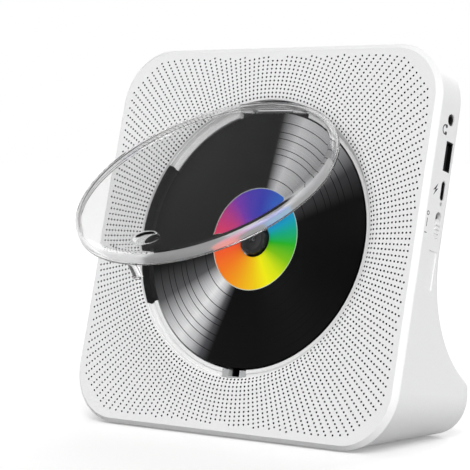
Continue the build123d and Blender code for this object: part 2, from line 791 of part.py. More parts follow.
def battery_cradle():
    floor_z = base_z + wall
    reach = cell_len + 3.2
    tray = box(-62, 62, cell_y-10.6, cell_y+10.6, floor_z, cell_z-1)
    tray += box(-reach-1.6, reach+1.6, cell_y-10.6, cell_y+10.6, floor_z+1, cell_z-1)
    tray -= box(-reach, reach, cell_y-9.2, cell_y+9.2, cell_z-7.0, cell_z+12)
    tray -= rod_x(cell_r, -reach, reach, cell_y, cell_z)
    return tray


# Writing the pieces
def build():
    pieces = {
        "front_panel": front_panel(), "rear_shell": rear_shell(), "foot_pad": foot_pad(),
        "case_screws": case_screws(), "bezel_ring": bezel_ring(), "disc_well": deck(),
        "well_screws": deck_fixings(), "latch_catch": latch_catch(), "cover": cover(),
        "cover_knuckles": cover_knuckles(), "cover_hook": cover_hook(),
        "hinge_pin": hinge_pin(), "disc": disc(), "turntable": turntable(),
        "clamp_balls": clamp_balls(), "spindle_shaft": spindle_shaft(),
        "spindle_motor": spindle_motor(), "mechanism_plate": mechanism_plate(),
        "rubber_isolators": isolators(), "shoulder_screws": shoulder_screws(),
        "guide_rods": guide_rods(), "pickup_body": pickup_body(), "pickup_lens": pickup_lens(),
        "sled_rack": sled_rack(), "sled_gear": sled_gear(), "gear_axle": gear_axle(),
        "sled_motor": sled_motor(), "motor_pinion": motor_pinion(), "main_board": main_board(),
        "board_parts": board_parts(), "board_screws": board_screws(), "port_board": port_board(),
        "aux_jack": jack_socket(), "usb_a_shell": usb_a_socket(), "usb_a_tongue": usb_a_tongue(),
        "usb_c_shell": usb_c_socket(), "usb_c_tongue": usb_c_tongue(),
        "charge_light": charge_light(), "power_switch": power_switch(),
        "switch_knob": switch_knob(), "button_board": button_board(),
        "tact_switches": tact_switches(), "ir_receiver": ir_receiver(),
        "speaker_screws": speaker_fixings(), "battery_cells": battery_cells(),
        "battery_cradle": battery_cradle(),
    }
    for number, u in enumerate(button_us, 1):
        pieces[f"button_{number}"] = button(u)
    for side, name in ((-1, "left"), (1, "right")):
        pieces[f"speaker_gasket_{name}"] = speaker_gasket(side)
        pieces[f"speaker_frame_{name}"] = speaker_frame(side)
        pieces[f"speaker_cone_{name}"] = speaker_cone(side)
        pieces[f"speaker_magnet_{name}"] = speaker_magnet(side)
    return pieces


def main():
    os.makedirs("parts", exist_ok=True)
    for name, piece in build().items():
        shape = Compound(children=piece) if isinstance(piece, list) else piece
        export_step(shape, f"parts/{name}.step")
        print(name, round(shape.volume), "mm3")


main()
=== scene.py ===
# %% [markdown]
# # A desktop disc player with a lift-up cover
# The real object is a square white plastic box that leans back on a flared foot. A clear round cover
# stands open above a black disc, and the whole front is pierced for the speakers behind it. The exact
# pieces arrive as a frame from the CAD model. This lesson gives every one of them a finish, and
# remakes in finer detail the pieces that the eye goes to.

# %% Load the frame
import json
import bpy
import bmesh
from math import atan2, cos, hypot, pi, radians, sin, sqrt, tan
from mathutils import Matrix, Vector


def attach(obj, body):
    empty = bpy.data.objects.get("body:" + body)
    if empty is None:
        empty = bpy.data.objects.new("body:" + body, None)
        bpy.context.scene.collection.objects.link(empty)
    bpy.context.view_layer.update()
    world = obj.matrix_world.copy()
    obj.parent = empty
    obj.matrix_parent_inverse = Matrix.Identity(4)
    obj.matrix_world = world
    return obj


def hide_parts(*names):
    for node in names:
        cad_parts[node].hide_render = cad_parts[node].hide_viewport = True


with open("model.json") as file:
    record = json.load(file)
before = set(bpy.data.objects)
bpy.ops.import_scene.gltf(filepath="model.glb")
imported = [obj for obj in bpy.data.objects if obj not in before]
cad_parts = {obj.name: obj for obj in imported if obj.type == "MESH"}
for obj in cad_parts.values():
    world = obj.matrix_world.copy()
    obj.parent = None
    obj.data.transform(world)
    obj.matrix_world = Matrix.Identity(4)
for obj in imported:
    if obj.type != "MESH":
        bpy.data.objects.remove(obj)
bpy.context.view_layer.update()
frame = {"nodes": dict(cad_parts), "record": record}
slot_of = {part["node"]: part["material_slot"] for part in frame["record"]["subparts"]}

# %% [markdown]
# ## The camera
# The camera comes first, because it decides how much detail each piece needs. A long lens from the
# right and slightly above keeps the box's edges nearly parallel, as a product picture does.

# %% Camera
camera_data = bpy.data.cameras.new("camera")
camera_data.sensor_width = 36
camera_data.sensor_fit = "HORIZONTAL"
camera_data.lens = 147.4
camera = bpy.data.objects.new("camera", camera_data)
camera.location = (0.5333, -0.7169, 0.1421)
camera.rotation_euler = (radians(90-3.29), 0, radians(37.49))
bpy.context.scene.collection.objects.link(camera)
bpy.context.scene.camera = camera
print("camera is", round(camera.location.length, 3), "m from the foot's centre")

# %% [markdown]
# ## The leaning frame
# The face leans back by 15 degrees, and nearly every piece is square to it. So the pieces are drawn
# flat, in millimetres, with x to the right, y up the face and z out of it. One matrix then stands
# them up. Materials use the same frame the other way round, through a Mapping node of type TEXTURE.

# %% Face frame
LEAN = radians(15)
FACE_ORIGIN = (0, -0.011, 0.09)
TO_WORLD = (Matrix.Translation(FACE_ORIGIN) @ Matrix.Rotation(pi/2-LEAN, 4, "X")
            @ Matrix.Scale(0.001, 4))
print("a point on the face:", [round(x, 4) for x in TO_WORLD @ Vector((0, 50, 0))])


# %% [markdown]
# ## Finishes
# Each finish is named for what the real surface is and how it was made. Colours are written as sRGB
# hex codes, as a paint chart gives them, and one function turns them into the linear values that the
# shader needs. A second small function adds a node with its settings and its links.

# %% Colour and node helpers
def linear(code):
    """An sRGB hex colour as linear RGBA."""
    parts = [int(code[k:k+2], 16)/255 for k in (1, 3, 5)]
    return tuple(c/12.92 if c <= 0.04045 else ((c+0.055)/1.055)**2.4 for c in parts) + (1.0,)


def add(tree, kind, settings=None, links=None):
    """Add a shader node. Settings are properties or socket values, links feed sockets."""
    made = tree.nodes.new("ShaderNode"+kind)
    for key, value in (settings or {}).items():
        if isinstance(key, str) and hasattr(made, key):
            setattr(made, key, value)
        else:
            made.inputs[key].default_value = value
    for key, source in (links or {}).items():
        tree.links.new(source, made.inputs[key])
    return made


def new_finish(name, base, roughness, **sockets):
    """A Principled material with its plain values set on the shader's own sockets."""
    material = bpy.data.materials.new(name)
    material.use_nodes = True
    tree = material.node_tree
    shader = tree.nodes["Principled BSDF"]
    shader.inputs["Base Color"].default_value = linear(base)
    shader.inputs["Roughness"].default_value = roughness
    for key, value in sockets.items():
        shader.inputs[key.replace("_", " ")].default_value = value
    return material, tree, shader


def surface_point(tree):
    return add(tree, "TexCoord").outputs["Object"]


def face_point(tree):
    """The point in the leaning face frame, in millimetres."""
    settings = {"vector_type": "TEXTURE", "Location": FACE_ORIGIN,
                "Rotation": (pi/2-LEAN, 0, 0), "Scale": (0.001, 0.001, 0.001)}
    return add(tree, "Mapping", settings, {"Vector": surface_point(tree)}).outputs["Vector"]


def feed(tree, shader, socket, source):
    tree.links.new(source, shader.inputs[socket])


def moulded_grain(tree, shader, grain_mm, depth_mm, strength=0.5):
    """Fine spark-eroded texture that a steel mould leaves on plastic."""
    noise = add(tree, "TexNoise", {"Scale": 1000/grain_mm, "Detail": 3.0, "Roughness": 0.6},
                {"Vector": surface_point(tree)})
    bump = add(tree, "Bump", {"Strength": strength, "Distance": depth_mm/1000},
               {"Height": noise.outputs[0]})
    feed(tree, shader, "Normal", bump.outputs["Normal"])
    return noise.outputs[0]


def tint(tree, shader, low, high, source, start=0.35, end=0.65):
    """Slight change of colour over the surface, between two hex colours."""
    ramp = add(tree, "ValToRGB", None, {"Fac": source})
    ramp.color_ramp.elements[0].position = start
    ramp.color_ramp.elements[1].position = end
    ramp.color_ramp.elements[0].color = linear(low)
    ramp.color_ramp.elements[1].color = linear(high)
    feed(tree, shader, "Base Color", ramp.outputs["Color"])


finishes = {}

# %% [markdown]
# ### Plastics
# The housing is ABS, moulded white, with a fine satin grain of about 0.2 mm. That grain spreads the
# highlights softly. It is finer than a pixel here, so it is drawn at 0.4 mm. The ring round the disc
# is the same plastic with a more polished tool, and the well under it is moulded in black.

# %% Moulded ABS
shell_abs, tree, shader = new_finish("white_satin_abs", "#F1F1F2", 0.42, IOR=1.54)
grain = moulded_grain(tree, shader, 0.4, 0.012, 0.35)
tint(tree, shader, "#EFEFF0", "#F4F4F4", grain)
finishes["white_shell"] = shell_abs

ring_abs, tree, shader = new_finish("white_polished_abs", "#EDEDED", 0.26, IOR=1.54)
grain = moulded_grain(tree, shader, 1.5, 0.01, 0.2)
tint(tree, shader, "#EBEBEB", "#F0F0F0", grain)
finishes["white_trim"] = ring_abs

well_abs, tree, shader = new_finish("black_satin_abs", "#151516", 0.38, IOR=1.54)
grain = moulded_grain(tree, shader, 0.5, 0.02, 0.5)
tint(tree, shader, "#121213", "#1A1A1B", grain)
finishes["black_well"] = well_abs
print("white, trim and black plastics made")

# %% [markdown]
# The cover is injection-moulded acrylic, clear as glass, with an IOR of 1.49. A real clear plate hardly
# darkens what lies behind it, but a path tracer can't find a lamp through bent light. So for rays that
# look for a lamp, or that carry soft light between surfaces, the material is plain Transparent. On the
# front of the upright rim, a milky white share is a painted reflection of a lamp's broad glare in the rim.

# %% Clear plastics
def let_light_through(tree, shader, share=0.93):
    """Lamps and soft light pass straight through, and what the eye sees still bends."""
    path = add(tree, "LightPath")
    passing = add(tree, "Math", {"operation": "MAXIMUM"}, {0: path.outputs["Is Shadow Ray"],
                                                          1: path.outputs["Is Diffuse Ray"]})
    straight = add(tree, "BsdfTransparent", {"Color": (share, share, share, 1)})
    either = add(tree, "MixShader", None, {0: passing.outputs[0], 1: shader.outputs[0],
                                           2: straight.outputs[0]})
    tree.links.new(either.outputs[0], tree.nodes["Material Output"].inputs["Surface"])


clear_acrylic, tree, shader = new_finish("clear_acrylic", "#FFFFFF", 0.02, IOR=1.49)
shader.inputs["Transmission Weight"].default_value = 1.0
ripple = add(tree, "TexNoise", {"Scale": 25.0, "Detail": 0.0}, {"Vector": surface_point(tree)})
bump = add(tree, "Bump", {"Strength": 0.03, "Distance": 0.0004}, {"Height": ripple.outputs[0]})
feed(tree, shader, "Normal", bump.outputs["Normal"])
let_light_through(tree, shader)
finishes["clear_cover"] = clear_acrylic

# Painted reflection: a milky diffuse share that stands for a lamp's glare in the rim.
rim_painted_reflection, tree, shader = new_finish("rim_acrylic_painted_reflection", "#FAFAFB", 0.1, IOR=1.49)
shader.inputs["Transmission Weight"].default_value = 0.72
ripple = add(tree, "TexNoise", {"Scale": 120.0, "Detail": 2.0}, {"Vector": surface_point(tree)})
spread = add(tree, "MapRange", {"To Min": 0.08, "To Max": 0.16}, {"Value": ripple.outputs[0]})
feed(tree, shader, "Roughness", spread.outputs[0])
let_light_through(tree, shader, 0.85)

catch_acrylic, tree, shader = new_finish("smoky_acrylic", "#D9DBDC", 0.18, IOR=1.49)
shader.inputs["Transmission Weight"].default_value = 0.4
moulded_grain(tree, shader, 0.8, 0.02, 0.4)
finishes["clear_catch"] = catch_acrylic

pipe_acrylic, tree, shader = new_finish("frosted_light_pipe", "#E9EDF0", 0.35, IOR=1.49)
shader.inputs["Transmission Weight"].default_value = 0.6
moulded_grain(tree, shader, 0.3, 0.02, 0.5)
finishes["light_pipe"] = pipe_acrylic

lens_glass, tree, shader = new_finish("coated_lens_glass", "#A9C4E8", 0.02, IOR=1.6)
shader.inputs["Transmission Weight"].default_value = 0.8
bloom = add(tree, "LayerWeight", {"Blend": 0.4})
tint(tree, shader, "#7FA4E0", "#C9A6E8", bloom.outputs["Facing"], 0.1, 0.8)
finishes["lens_clear"] = lens_glass
print("clear plastics and lens made")

# %% [markdown]
# ### Small mechanism plastics and rubber
# Gears are natural white acetal, the pickup and sockets are black PBT, the foot pad is black rubber.
# All have a dull moulded surface, so they differ mainly in roughness and grain size.

# %% Acetal, PBT, rubber and foam
small_plastics = {
    "gear_white": ("natural_acetal", "#E4E3DD", "#DAD9D2", 0.45, 0.3),
    "sled_black": ("black_pbt", "#19191B", "#101012", 0.5, 0.25),
    "chip_black": ("black_moulding_compound", "#1B1B1C", "#131314", 0.55, 0.2),
    "tongue_white": ("white_nylon", "#E6E6E4", "#DCDCDA", 0.4, 0.2),
    "tongue_black": ("black_nylon", "#161617", "#0F0F10", 0.45, 0.2),
    "black_rubber": ("moulded_rubber", "#1D1D1D", "#141414", 0.8, 0.5),
    "speaker_foam": ("sealing_foam", "#1C1C1D", "#0E0E0F", 0.95, 0.6),
    "cone_paper": ("pressed_paper_cone", "#2A2A2B", "#1C1C1D", 0.85, 0.7),
}
for slot, (name, light, dark, roughness, grain_mm) in small_plastics.items():
    material, tree, shader = new_finish(name, light, roughness, IOR=1.5)
    grain = moulded_grain(tree, shader, grain_mm, 0.03, 0.6)
    tint(tree, shader, dark, light, grain)
    finishes[slot] = material
print(len(small_plastics), "small plastics made")

# %% [markdown]
# ### Metals
# Zinc-plated screws and motor cans keep faint rolling marks, stretched along one direction. The pin
# and rods are ground and plated, so they are smoother. The clamp balls and the USB shell are steel made
# dark as painted shade, since they sit inside the hub and the socket where shade falls. The speaker
# baskets are pressed steel with black paint, and the magnets are sintered ferrite, dark and dull.

# %% Steel, paint and ferrite
def rolled_marks(tree, shader, across_mm, low, high):
    """Rolling marks: noise drawn out twenty times along x, which varies the roughness."""
    stretched = add(tree, "Mapping", {"Scale": (50/across_mm, 1000/across_mm, 1000/across_mm)},
                    {"Vector": surface_point(tree)})
    noise = add(tree, "TexNoise", {"Scale": 1.0, "Detail": 4.0}, {"Vector": stretched.outputs[0]})
    spread = add(tree, "MapRange", {"To Min": low, "To Max": high}, {"Value": noise.outputs[0]})
    feed(tree, shader, "Roughness", spread.outputs[0])
    return noise.outputs[0]


steel, tree, shader = new_finish("zinc_plated_steel", "#B9BABD", 0.32, Metallic=1.0)
marks = rolled_marks(tree, shader, 0.15, 0.26, 0.42)
tint(tree, shader, "#ADAEB2", "#C2C3C6", marks)
finishes["steel"] = steel

# Painted shade: steel made dark for pieces that sit where shade falls.
steel_painted_shade, tree, shader = new_finish("dark_steel_painted_shade", "#2A2A2C", 0.35, Metallic=1.0)
rolled_marks(tree, shader, 0.2, 0.3, 0.45)

bright_steel, tree, shader = new_finish("nickel_plated_steel", "#C9C9CB", 0.16, Metallic=1.0)
rolled_marks(tree, shader, 0.1, 0.1, 0.22)
finishes["plated_steel"] = bright_steel

basket_paint, tree, shader = new_finish("black_painted_steel", "#1A1A1B", 0.45, IOR=1.5)
moulded_grain(tree, shader, 0.8, 0.02, 0.4)
finishes["speaker_steel"] = basket_paint

ferrite, tree, shader = new_finish("sintered_ferrite", "#2B2B2E", 0.6, Metallic=0.4)
grain = moulded_grain(tree, shader, 0.4, 0.04, 0.8)
tint(tree, shader, "#232326", "#333337", grain)
finishes["ferrite"] = ferrite
print("metals made")

# %% [markdown]
# ### Circuit board and battery sleeve
# Solder mask is a thin green lacquer. It lets the copper tracks show as slightly lighter bands, drawn
# here with a brick pattern of 2.5 mm. The cells wear a shrunk PVC sleeve with a soft gloss.

# %% Solder mask and sleeve
board, tree, shader = new_finish("green_solder_mask", "#0F5A34", 0.3, IOR=1.5)
track_look = {"offset": 0.37, "Scale": 0.4, "Mortar Size": 0.06, "Color1": linear("#0F5A34"),
              "Color2": linear("#12633A"), "Mortar": linear("#2A8A58")}
tracks = add(tree, "TexBrick", track_look, {"Vector": face_point(tree)})
feed(tree, shader, "Base Color", tracks.outputs["Color"])
raised = add(tree, "Bump", {"Strength": 0.3, "Distance": 0.00005}, {"Height": tracks.outputs["Fac"]})
feed(tree, shader, "Normal", raised.outputs["Normal"])
finishes["board_green"] = board

sleeve, tree, shader = new_finish("blue_pvc_sleeve", "#1F4FA3", 0.28, IOR=1.53)
grain = moulded_grain(tree, shader, 4.0, 0.05, 0.3)
tint(tree, shader, "#1C4894", "#2457B0", grain)
finishes["cell_wrap"] = sleeve
print("board and sleeve made")

# %% [markdown]
# ### The disc
# The disc is screen-printed to look like a record: black ink and thin darker lines between the tracks.
# Its two pale wedges are a painted reflection: the lamps' glare in its rings, painted into the colour.
# Both are worked out from the point's place on the disc. The painted reflection is a colour ramp read
# by the angle, and noise over the radius gives the fine rings. A moulded disc's own rings also stretch
# every highlight outwards, so the shader is anisotropic with a tangent that points out from the middle.

# %% Disc finish
TRACK_LINES, LINE_HALF_W = (28.6, 35.7, 40.4, 43.2, 47.9, 50.9, 55.5), 0.2


def ring_frame(tree):
    """Radius in mm, angle in radians and the direction away from the disc's axis."""
    split = add(tree, "SeparateXYZ", None, {"Vector": face_point(tree)})
    x, y = split.outputs["X"], split.outputs["Y"]
    flat = add(tree, "CombineXYZ", None, {"X": x, "Y": y})
    radius = add(tree, "VectorMath", {"operation": "LENGTH"}, {0: flat.outputs[0]}).outputs["Value"]
    angle = add(tree, "Math", {"operation": "ARCTAN2"}, {0: y, 1: x}).outputs[0]
    stood_up = add(tree, "Mapping", {"vector_type": "VECTOR", "Rotation": (pi/2-LEAN, 0, 0)},
                   {"Vector": flat.outputs[0]})
    turned = add(tree, "VectorTransform", {"vector_type": "VECTOR", "convert_from": "OBJECT",
                                           "convert_to": "WORLD"}, {0: stood_up.outputs[0]})
    unit = add(tree, "VectorMath", {"operation": "NORMALIZE"}, {0: turned.outputs[0]})
    return radius, angle, unit.outputs[0]


def fill_ramp(ramp, stops):
    """Set a colour ramp's stops from (place, hex colour) pairs."""
    ramp.elements[0].color = linear(stops[0][1])
    ramp.elements[1].color = linear(stops[-1][1])
    for place, code in stops[1:-1]:
        ramp.elements.new(place).color = linear(code)


disc_print_painted_reflection, tree, shader = new_finish("black_print_painted_reflection", "#0C0C0D", 0.36, IOR=1.5)
shader.inputs["Anisotropic"].default_value = 0.8
shader.inputs["Specular IOR Level"].default_value = 0.08
radius, angle, outward = ring_frame(tree)
feed(tree, shader, "Tangent", outward)
turn = add(tree, "MapRange", {"From Min": -pi, "From Max": pi}, {"Value": angle})
# Painted reflection: two pale wedges in the colour, where the lamps' glare would lie on the disc.
painted_reflection_wedges = add(tree, "ValToRGB", None, {"Fac": turn.outputs[0]})
fill_ramp(painted_reflection_wedges.color_ramp, [
    (0.0, "#060607"), (0.045, "#0C0C0D"), (0.09, "#58585A"), (0.12, "#C0C0C2"), (0.15, "#F0F0F1"),
    (0.172, "#C6C6C8"), (0.19, "#56565A"), (0.206, "#030303"), (0.28, "#010101"), (0.36, "#0A0A0B"),
    (0.45, "#010101"), (0.56, "#030303"), (0.60, "#3A3A3C"), (0.65, "#A8A8AA"), (0.70, "#D2D2D4"),
    (0.718, "#9C9C9E"), (0.735, "#0C0C0D"), (0.80, "#0A0A0B"), (1.0, "#060607")])
line_here = None
for r in TRACK_LINES:
    near = add(tree, "Math", {"operation": "COMPARE", 1: r, 2: LINE_HALF_W}, {0: radius}).outputs[0]
    if line_here:
        near = add(tree, "Math", {"operation": "MAXIMUM"}, {0: line_here, 1: near}).outputs[0]
    line_here = near
fine = add(tree, "TexNoise", {"noise_dimensions": "1D", "Scale": 1.6, "Detail": 5.0, "Roughness": 0.75},
           {"W": radius})
rings = add(tree, "MapRange", {"From Min": 0.3, "From Max": 0.7, "To Min": 0.92, "To Max": 1.12},
            {"Value": fine.outputs[0]})
darker = add(tree, "Math", {"operation": "MULTIPLY", 1: 0.12}, {0: rings.outputs[0]})
with_lines = add(tree, "MapRange", None, {"Value": line_here, "To Min": rings.outputs[0],
                                          "To Max": darker.outputs[0]})
dimmed = add(tree, "VectorMath", {"operation": "SCALE"}, {0: painted_reflection_wedges.outputs[0],
                                                          "Scale": with_lines.outputs[0]})
feed(tree, shader, "Base Color", dimmed.outputs[0])
finishes["disc_poly"] = disc_print_painted_reflection
print("disc print made, with", len(tree.nodes), "nodes")

# %% [markdown]
# The middle is printed with a wheel of colours that runs once round. A colour ramp read by the angle
# gives that, and both its ends hold the same red so that no seam shows.

# %% Label finish
label_print, tree, shader = new_finish("printed_label_wheel", "#FFFFFF", 0.35, IOR=1.5)
shader.inputs["Specular IOR Level"].default_value = 0.25
radius, angle, _ = ring_frame(tree)
turn = add(tree, "MapRange", {"From Min": -pi, "From Max": pi}, {"Value": angle})
wheel = add(tree, "ValToRGB", None, {"Fac": turn.outputs[0]})
fill_ramp(wheel.color_ramp, [
    (0.0, "#F6345F"), (0.05, "#FF5B26"), (0.12, "#FF7C12"), (0.20, "#FFA60A"), (0.27, "#FFD000"),
    (0.33, "#FFF800"), (0.375, "#E2F000"), (0.43, "#84CC00"), (0.49, "#1CB81C"), (0.54, "#00AE88"),
    (0.58, "#08A2C4"), (0.65, "#1F6AD0"), (0.74, "#3238BC"), (0.80, "#4E34BA"), (0.85, "#7A30B8"),
    (0.91, "#C0308C"), (1.0, "#F6345F")])
PALE_LINE_R = 23.55
edge = add(tree, "Math", {"operation": "GREATER_THAN", 1: PALE_LINE_R}, {0: radius})
rim = add(tree, "MixRGB", {"Color2": linear("#C9D6C6")}, {"Fac": edge.outputs[0],
                                                         "Color1": wheel.outputs[0]})
feed(tree, shader, "Base Color", rim.outputs[0])
paper = add(tree, "TexNoise", {"Scale": 2500.0}, {"Vector": surface_point(tree)})
bump = add(tree, "Bump", {"Strength": 0.1, "Distance": 0.00002}, {"Height": paper.outputs[0]})
feed(tree, shader, "Normal", bump.outputs["Normal"])
print("label has", len(wheel.color_ramp.elements), "colour stops")

# %% [markdown]
# The hub is moulded in black acetal with a faint gloss. The marks beside the sockets are printed in dark
# grey ink. The grille's holes, walls and floors alike, are painted nearly black with no gloss: painted
# shade for the shadow in the white panel's holes and in the cavity behind them. Behind the grille's holes
# it is nearly black, and no gloss shows there.

# %% Hub and ink
hub_plastic, tree, shader = new_finish("black_acetal", "#19191A", 0.45, IOR=1.48)
shader.inputs["Specular IOR Level"].default_value = 0.3
grain = moulded_grain(tree, shader, 0.4, 0.03, 0.5)
tint(tree, shader, "#151516", "#1E1E20", grain)
finishes["hub_black"] = hub_plastic

pad_ink, tree, shader = new_finish("grey_pad_print", "#2C2C2E", 0.5, IOR=1.5)
grain = moulded_grain(tree, shader, 0.3, 0.01, 0.3)
tint(tree, shader, "#28282A", "#323234", grain)

# Painted shade: the holes' walls and floors are dark, though the panel is white plastic.
hole_painted_shade, tree, shader = new_finish("painted_shade_in_holes", "#1B1B1D", 0.9, IOR=1.5)
shader.inputs["Specular IOR Level"].default_value = 0.1
grain = moulded_grain(tree, shader, 0.3, 0.05, 0.8)
tint(tree, shader, "#161618", "#222224", grain)

# %% [markdown]
# ## Dressing the pieces
# Each CAD piece names a material slot, and each slot has a finish by now. Three small pieces differ from
# the rest of their slot: they sit in openings that look black from outside, so they get painted shade.

# %% Dress the CAD nodes
for name, obj in frame["nodes"].items():
    obj.data.materials.clear()
    obj.data.materials.append(finishes[slot_of[name]])
# Painted shade on the clamp balls, the USB tongue and the USB shell.
frame["nodes"]["clamp_balls"].data.materials[0] = steel_painted_shade
frame["nodes"]["usb_a_tongue"].data.materials[0] = finishes["tongue_black"]
frame["nodes"]["usb_a_shell"].data.materials[0] = steel_painted_shade
print(len(finishes), "finishes on", len(frame["nodes"]), "nodes")


# %% [markdown]
# ## Mesh helpers
# Two things are done to every new mesh. Doubles are merged before its normals are recalculated, and
# edges sharper than about 30 degrees are marked so that smooth shading stops there.

# %% Helpers for new pieces
def settle(bm, name, body, materials, crease=30):
    """Close the mesh, mark its creases, stand it up and make it ride on a body."""
    bmesh.ops.remove_doubles(bm, verts=bm.verts, dist=0.002)
    bmesh.ops.recalc_face_normals(bm, faces=bm.faces)
    for face in bm.faces:
        face.smooth = True
    for edge in bm.edges:
        edge.smooth = edge.calc_face_angle(0) < radians(crease)
    bmesh.ops.transform(bm, matrix=TO_WORLD, verts=bm.verts)
    mesh = bpy.data.meshes.new(name)
    bm.to_mesh(mesh)
    bm.free()
    for material in materials:
        mesh.materials.append(material)
    obj = bpy.data.objects.new(name, mesh)
    bpy.context.scene.collection.objects.link(obj)
    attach(obj, body)
    print(name, len(mesh.polygons), "faces")
    return obj


def spun(bm, outline, steps, closed=True):
    """Spin a line of (radius, height) points once round the face's axis."""
    verts = [bm.verts.new((r, 0, z)) for r, z in outline]
    pairs = list(zip(verts, verts[1:]))
    if closed:
        pairs.append((verts[-1], verts[0]))
    edges = [bm.edges.new(pair) for pair in pairs]
    bmesh.ops.spin(bm, geom=verts+edges, cent=(0, 0, 0), axis=(0, 0, 1), dvec=(0, 0, 0),
                   angle=2*pi, steps=steps, use_merge=True, use_duplicate=False)


def curve_points(start, through, end, count):
    """Points of a round bend that leaves start, is pulled towards through and reaches end."""
    found = []
    for k in range(count+1):
        t = k/count
        found.append(tuple((1-t)**2*a + 2*t*(1-t)*b + t*t*c for a, b, c in zip(start, through, end)))
    return found


# %% [markdown]
# ## The pierced front panel
# On the real player the panel is one moulding with about three thousand holes, set on rings round the
# disc and on spokes 1.8 degrees apart. A bump map would look flat from the side, so the holes are
# real. One spoke of cells is made first. Each cell is a flat patch whose middle is inset, rounded to
# an octagon and pushed in. The spoke is then spun 200 times, and the cells outside the pierced field
# are taken away.

# %% One spoke of the grille
SPOKES, ROW_PITCH, HOLE_R, HOLE_DEPTH = 200, 1.925, 0.5, 1.5
OPENING_R, DIP_R = 65.1, 70.5
row_r = [65.88] + [67.4+ROW_PITCH*k for k in range(23)]
cell_r = [OPENING_R, 66.62] + [(a+b)/2 for a, b in zip(row_r[1:], row_r[2:])] + [row_r[-1]+ROW_PITCH/2]
half_spoke = pi/SPOKES

panel = bmesh.new()
bmesh.ops.create_grid(panel, x_segments=len(row_r), y_segments=1, size=1)
for vert in panel.verts:
    r = cell_r[round((vert.co.x+1)/2*len(row_r))]
    a = half_spoke if vert.co.y > 0 else -half_spoke
    vert.co = (r*cos(a), r*sin(a), 0)
cells = sorted(panel.faces, key=lambda face: face.calc_center_median().x)
bmesh.ops.bisect_edges(panel, edges=panel.edges, cuts=1)
bmesh.ops.inset_individual(panel, faces=cells, thickness=0.25, use_even_offset=True)
print(len(cells), "cells on one spoke, out to", round(cell_r[-1], 1), "mm")

# %% Round the holes and push them in
for r, face in zip(row_r, cells):
    corners = sorted(face.verts, key=lambda vert: atan2(vert.co.y, vert.co.x-r))
    nearest = min(range(8), key=lambda k: abs(atan2(corners[k].co.y, corners[k].co.x-r)))
    for k, vert in enumerate(corners):
        a = (k-nearest)*pi/4
        vert.co = (r+HOLE_R*cos(a), HOLE_R*sin(a), 0)
pushed = bmesh.ops.extrude_discrete_faces(panel, faces=cells)["faces"]
# The floor and the walls of each hole take the painted shade finish.
for face in pushed:
    for part in [face]+[f for e in face.edges for f in e.link_faces]:
        part.material_index = 1
bmesh.ops.translate(panel, vec=(0, 0, -HOLE_DEPTH), verts=[v for f in pushed for v in f.verts])
print("holes are", 2*HOLE_R, "mm wide and", HOLE_DEPTH, "mm deep")

# %% Spin the spoke and keep the pierced field
bmesh.ops.spin(panel, geom=panel.verts[:]+panel.edges[:]+panel.faces[:], cent=(0, 0, 0),
               axis=(0, 0, 1), dvec=(0, 0, 0), angle=2*half_spoke*(SPOKES-1), steps=SPOKES-1,
               use_merge=False, use_duplicate=True)
bmesh.ops.remove_doubles(panel, verts=panel.verts, dist=0.002)


def cell_of(face):
    """Row and spoke of the cell that a face belongs to."""
    middle = face.calc_center_median()
    r = hypot(middle.x, middle.y)
    row = sum(1 for limit in cell_r[1:-1] if r > limit)
    return row, round(atan2(middle.y, middle.x)/(2*half_spoke)) % SPOKES


def in_field(row, spoke):
    """True where a hole's centre lies inside the rounded square that is pierced."""
    a = spoke*2*half_spoke
    u, v = abs(row_r[row]*cos(a)), abs(row_r[row]*sin(a))
    over = hypot(max(u-60, 0), max(v-59.5, 0))
    return u < 87.1 and v < 86.6 and over < 27.1


def above_hinge(row, spoke):
    a = spoke*2*half_spoke
    return row == 0 and hypot(row_r[0]*cos(a), row_r[0]*sin(a)-6.1) < 60.7


outside = [face for face in panel.faces if not in_field(*cell_of(face))]
bmesh.ops.delete(panel, geom=outside, context="FACES")
plain = {}
for face in panel.faces:
    cell = cell_of(face)
    if above_hinge(*cell):
        plain.setdefault(cell, []).append(face)
for group in plain.values():
    patch = bmesh.ops.dissolve_faces(panel, faces=group, use_verts=False)["region"]
    for face in patch:
        face.material_index = 0
FACES_PER_HOLE = 9
print(sum(face.material_index for face in panel.faces)//FACES_PER_HOLE, "holes of eight walls and a floor")

# %% [markdown]
# The panel dips towards the disc over its last five millimetres, like the mouth of a bowl. The mesh
# is already fine there, so the dip is a matter of lowering each point by its distance. Above the
# hinge the opening is eased by a millimetre, so that the cover's heel can swing past.

# %% Dip towards the disc
for vert in panel.verts:
    r = hypot(vert.co.x, vert.co.y)
    if r < OPENING_R+0.02 and vert.co.z > -0.1:
        a = atan2(vert.co.y, vert.co.x)
        eased = 6.1*sin(a) + sqrt(max(3600-(6.1*cos(a))**2, 0))
        r_new = max(OPENING_R, eased)
        vert.co.x, vert.co.y, r = r_new*cos(a), r_new*sin(a), r_new
    if r < DIP_R:
        vert.co.z -= 1.0*((DIP_R-r)/(DIP_R-OPENING_R))**2.3
mouth = [e for e in panel.edges if e.is_boundary and hypot(*e.verts[0].co.xy) < 67
         and hypot(*e.verts[1].co.xy) < 67]
stepped = [e for e in panel.edges if e.is_boundary and e not in set(mouth)]
print(len(mouth), "edges at the mouth,", len(stepped), "edges round the field")

# %% [markdown]
# The outline is a rounded square. Its sides and top run square to the face, but its underside is
# level with the table, because the box stands on it. So the lower corners are a little taller than
# they are wide. Bevelling four corner points gives the arcs, and an inset with depth gives the
# chamfer that catches the light.

